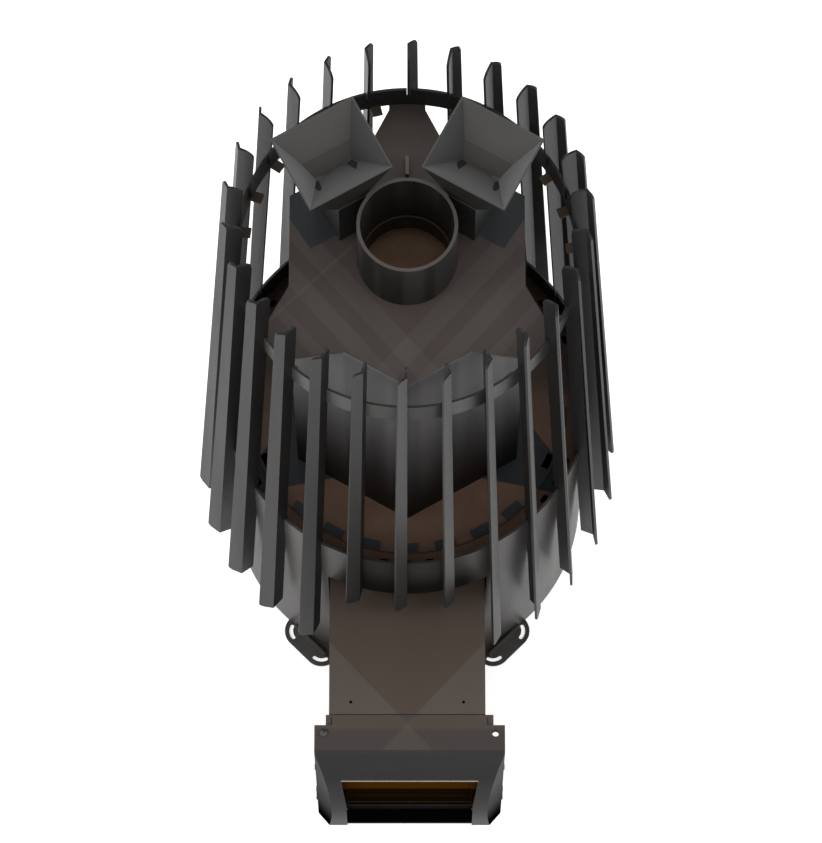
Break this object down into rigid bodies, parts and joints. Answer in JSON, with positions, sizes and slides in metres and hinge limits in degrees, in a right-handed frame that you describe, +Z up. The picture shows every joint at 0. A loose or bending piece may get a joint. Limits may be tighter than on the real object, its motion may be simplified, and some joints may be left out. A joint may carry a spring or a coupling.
{
  "type": "sauna stove",
  "caption": "Wood-fired sauna stove: a hexagonal firebox in a round cage of leaning slats, with a fuel tunnel, a hinged glass door, an ash drawer and water funnels.",
  "frame": {"origin": "on the floor at the axis of the round cage", "axes": "+Z up, -Y towards the door, +X to the right seen from the door"},
  "size_m": [0.5396, 0.724, 0.9951],
  "materials": {
    "base_steel": "dark heat-proof coating",
    "drum_steel": "satin black coating",
    "tray_steel": "matt black coating",
    "firebox_steel": "matt black coating with faint rolling streaks",
    "top_steel": "brownish black coating with faint streaks",
    "grate_iron": "as cast",
    "baffle_steel": "heat-browned steel",
    "collar_steel": "dark coated pipe, lighter at the rim",
    "funnel_steel": "dark grey sheet",
    "ring_steel": "matt black coating",
    "slat_steel": "satin black coating",
    "tunnel_steel": "brownish black coating",
    "door_steel": "satin black coating",
    "door_inner_steel": "grey sheet",
    "pane": "heat-proof pane with a warm tint",
    "seal_fibre": "woven fibre rope",
    "fastener_steel": "dark zinc"
  },
  "bodies": {
    "stove": {"base_plate": "base_steel", "lower_drum": "drum_steel", "vent_ring": "tray_steel", "drum_floor": "tray_steel", "floor_pads": "tray_steel", "firebox_walls": "firebox_steel", "hearth_plate": "base_steel", "fire_grate": "grate_iron", "flame_baffle": "baffle_steel", "baffle_rails": "firebox_steel", "left_evaporator": "funnel_steel", "right_evaporator": "funnel_steel", "top_plate": "top_steel", "lifting_lug": "top_steel", "flue_collar": "collar_steel", "left_duct": "funnel_steel", "right_duct": "funnel_steel", "left_funnel": "funnel_steel", "right_funnel": "funnel_steel", "upper_ring": "ring_steel", "long_slats": "slat_steel", "short_slats": "slat_steel", "left_foot": "drum_steel", "right_foot": "drum_steel", "fuel_tunnel": "tunnel_steel", "front_frame": "tunnel_steel", "hinge_arms": "tunnel_steel", "sill_plate": "tunnel_steel"},
    "door": {"door_hood": "door_steel", "door_liner": "door_inner_steel", "door_glass": "pane", "glass_gasket": "seal_fibre", "glass_retainer": "door_inner_steel", "glass_screws": "fastener_steel", "hinge_pin": "fastener_steel", "side_screws": "fastener_steel", "door_seal": "seal_fibre"},
    "drawer": {"ash_drawer": "base_steel", "drawer_pull": "fastener_steel"}
  },
  "joints": [
    {"name": "door_hinge", "type": "hinge", "parent": "stove", "child": "door", "pos_m": [-0.1034, -0.409, 0.15], "axis": [0, 0, -1], "range_deg": [0, 105]},
    {"name": "drawer_slide", "type": "slide", "parent": "stove", "child": "drawer", "axis": [0, -1, 0], "range_m": [0, 0.38]}
  ]
}
